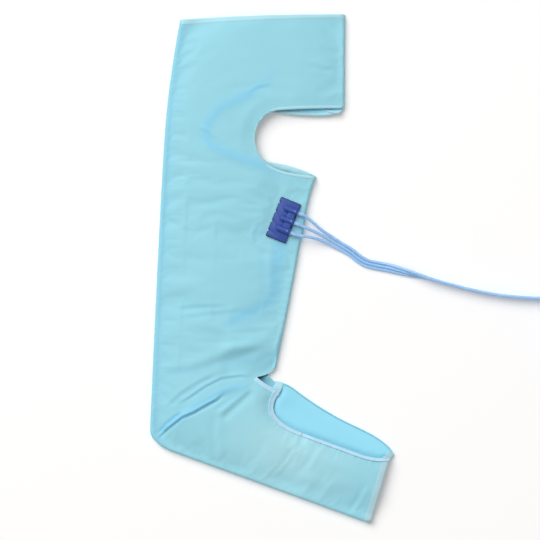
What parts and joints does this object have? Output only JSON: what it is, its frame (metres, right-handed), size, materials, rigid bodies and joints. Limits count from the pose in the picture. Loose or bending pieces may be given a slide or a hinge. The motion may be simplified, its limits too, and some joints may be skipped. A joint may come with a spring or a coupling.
{
  "type": "compression leg sleeve",
  "caption": "Flat-lying leg-long air compression sleeve with open knee and instep, air chambers per section, moulded port manifold and coiled hoses with a plug.",
  "frame": {"origin": "middle of the sleeve's outline, on the surface that it lies on", "axes": "+X to the front of the leg, +Y up the leg, +Z away from the surface, on the manifold's side"},
  "size_m": [0.7841, 0.8474, 0.0242],
  "materials": {
    "shell_cloth": "coated nylon, pale aqua, soft sheen",
    "lining": "coated nylon, sky blue",
    "hem_tape": "folded and welded hem",
    "binding_tape": "pale bias binding",
    "bladder_film": "clear soft film, welded",
    "moulded_blue": "satin moulded plastic",
    "gasket": "soft sheet",
    "hose": "glossy soft tube",
    "tie_strap": "hook and loop strap"
  },
  "bodies": {
    "calf": {"calf_near_shell": "shell_cloth", "calf_far_shell": "shell_cloth", "calf_near_lining": "lining", "calf_far_lining": "lining", "calf_chamber": "bladder_film", "calf_back_seam": "shell_cloth", "calf_front_seam": "shell_cloth", "knee_lower_hem_near": "hem_tape", "knee_lower_hem_far": "hem_tape", "thigh_feed_duct": "bladder_film", "foot_feed_duct": "bladder_film", "manifold_body": "moulded_blue", "manifold_gasket": "gasket", "manifold_flange": "moulded_blue", "hose_sleeves": "hose", "hose_1": "hose", "hose_2": "hose", "hose_3": "hose", "hose_coil_1": "hose", "hose_coil_2": "hose", "hose_coil_3": "hose", "coil_tie": "tie_strap", "plug_body": "moulded_blue", "plug_nozzles": "moulded_blue"},
    "thigh": {"thigh_near_shell": "shell_cloth", "thigh_far_shell": "shell_cloth", "thigh_near_lining": "lining", "thigh_far_lining": "lining", "thigh_chamber": "bladder_film", "thigh_back_seam": "shell_cloth", "thigh_front_seam": "shell_cloth", "thigh_top_hem_near": "hem_tape", "thigh_top_hem_far": "hem_tape", "knee_upper_hem_near": "hem_tape", "knee_upper_hem_far": "hem_tape", "thigh_feed_stub": "bladder_film"},
    "foot": {"foot_near_shell": "shell_cloth", "foot_far_shell": "shell_cloth", "foot_near_lining": "lining", "foot_far_lining": "lining", "foot_chamber": "bladder_film", "sole_seam": "shell_cloth", "toe_hem_near": "hem_tape", "toe_hem_far": "hem_tape", "ankle_band": "binding_tape", "throat_binding": "binding_tape", "instep_far_binding": "binding_tape", "foot_feed_stub": "bladder_film"},
    "flap": {"flap_shell": "shell_cloth", "flap_lining": "lining", "flap_binding": "binding_tape", "flap_toe_hem": "hem_tape"}
  },
  "joints": [
    {"name": "knee_fold", "type": "hinge", "parent": "calf", "child": "thigh", "pos_m": [-0.1, 0.21766, 0.013], "axis": [1, 0, 0], "range_deg": [0, 120]},
    {"name": "ankle_fold", "type": "hinge", "parent": "calf", "child": "foot", "pos_m": [-0.19418, -0.28515, 0.013], "axis": [-0.8467, -0.5321, 0], "range_deg": [0, 150]},
    {"name": "instep_flap", "type": "hinge", "parent": "foot", "child": "flap", "pos_m": [0.05163, -0.27352, 0.013], "axis": [0.7577, -0.6526, 0], "range_deg": [0, 150]}
  ]
}
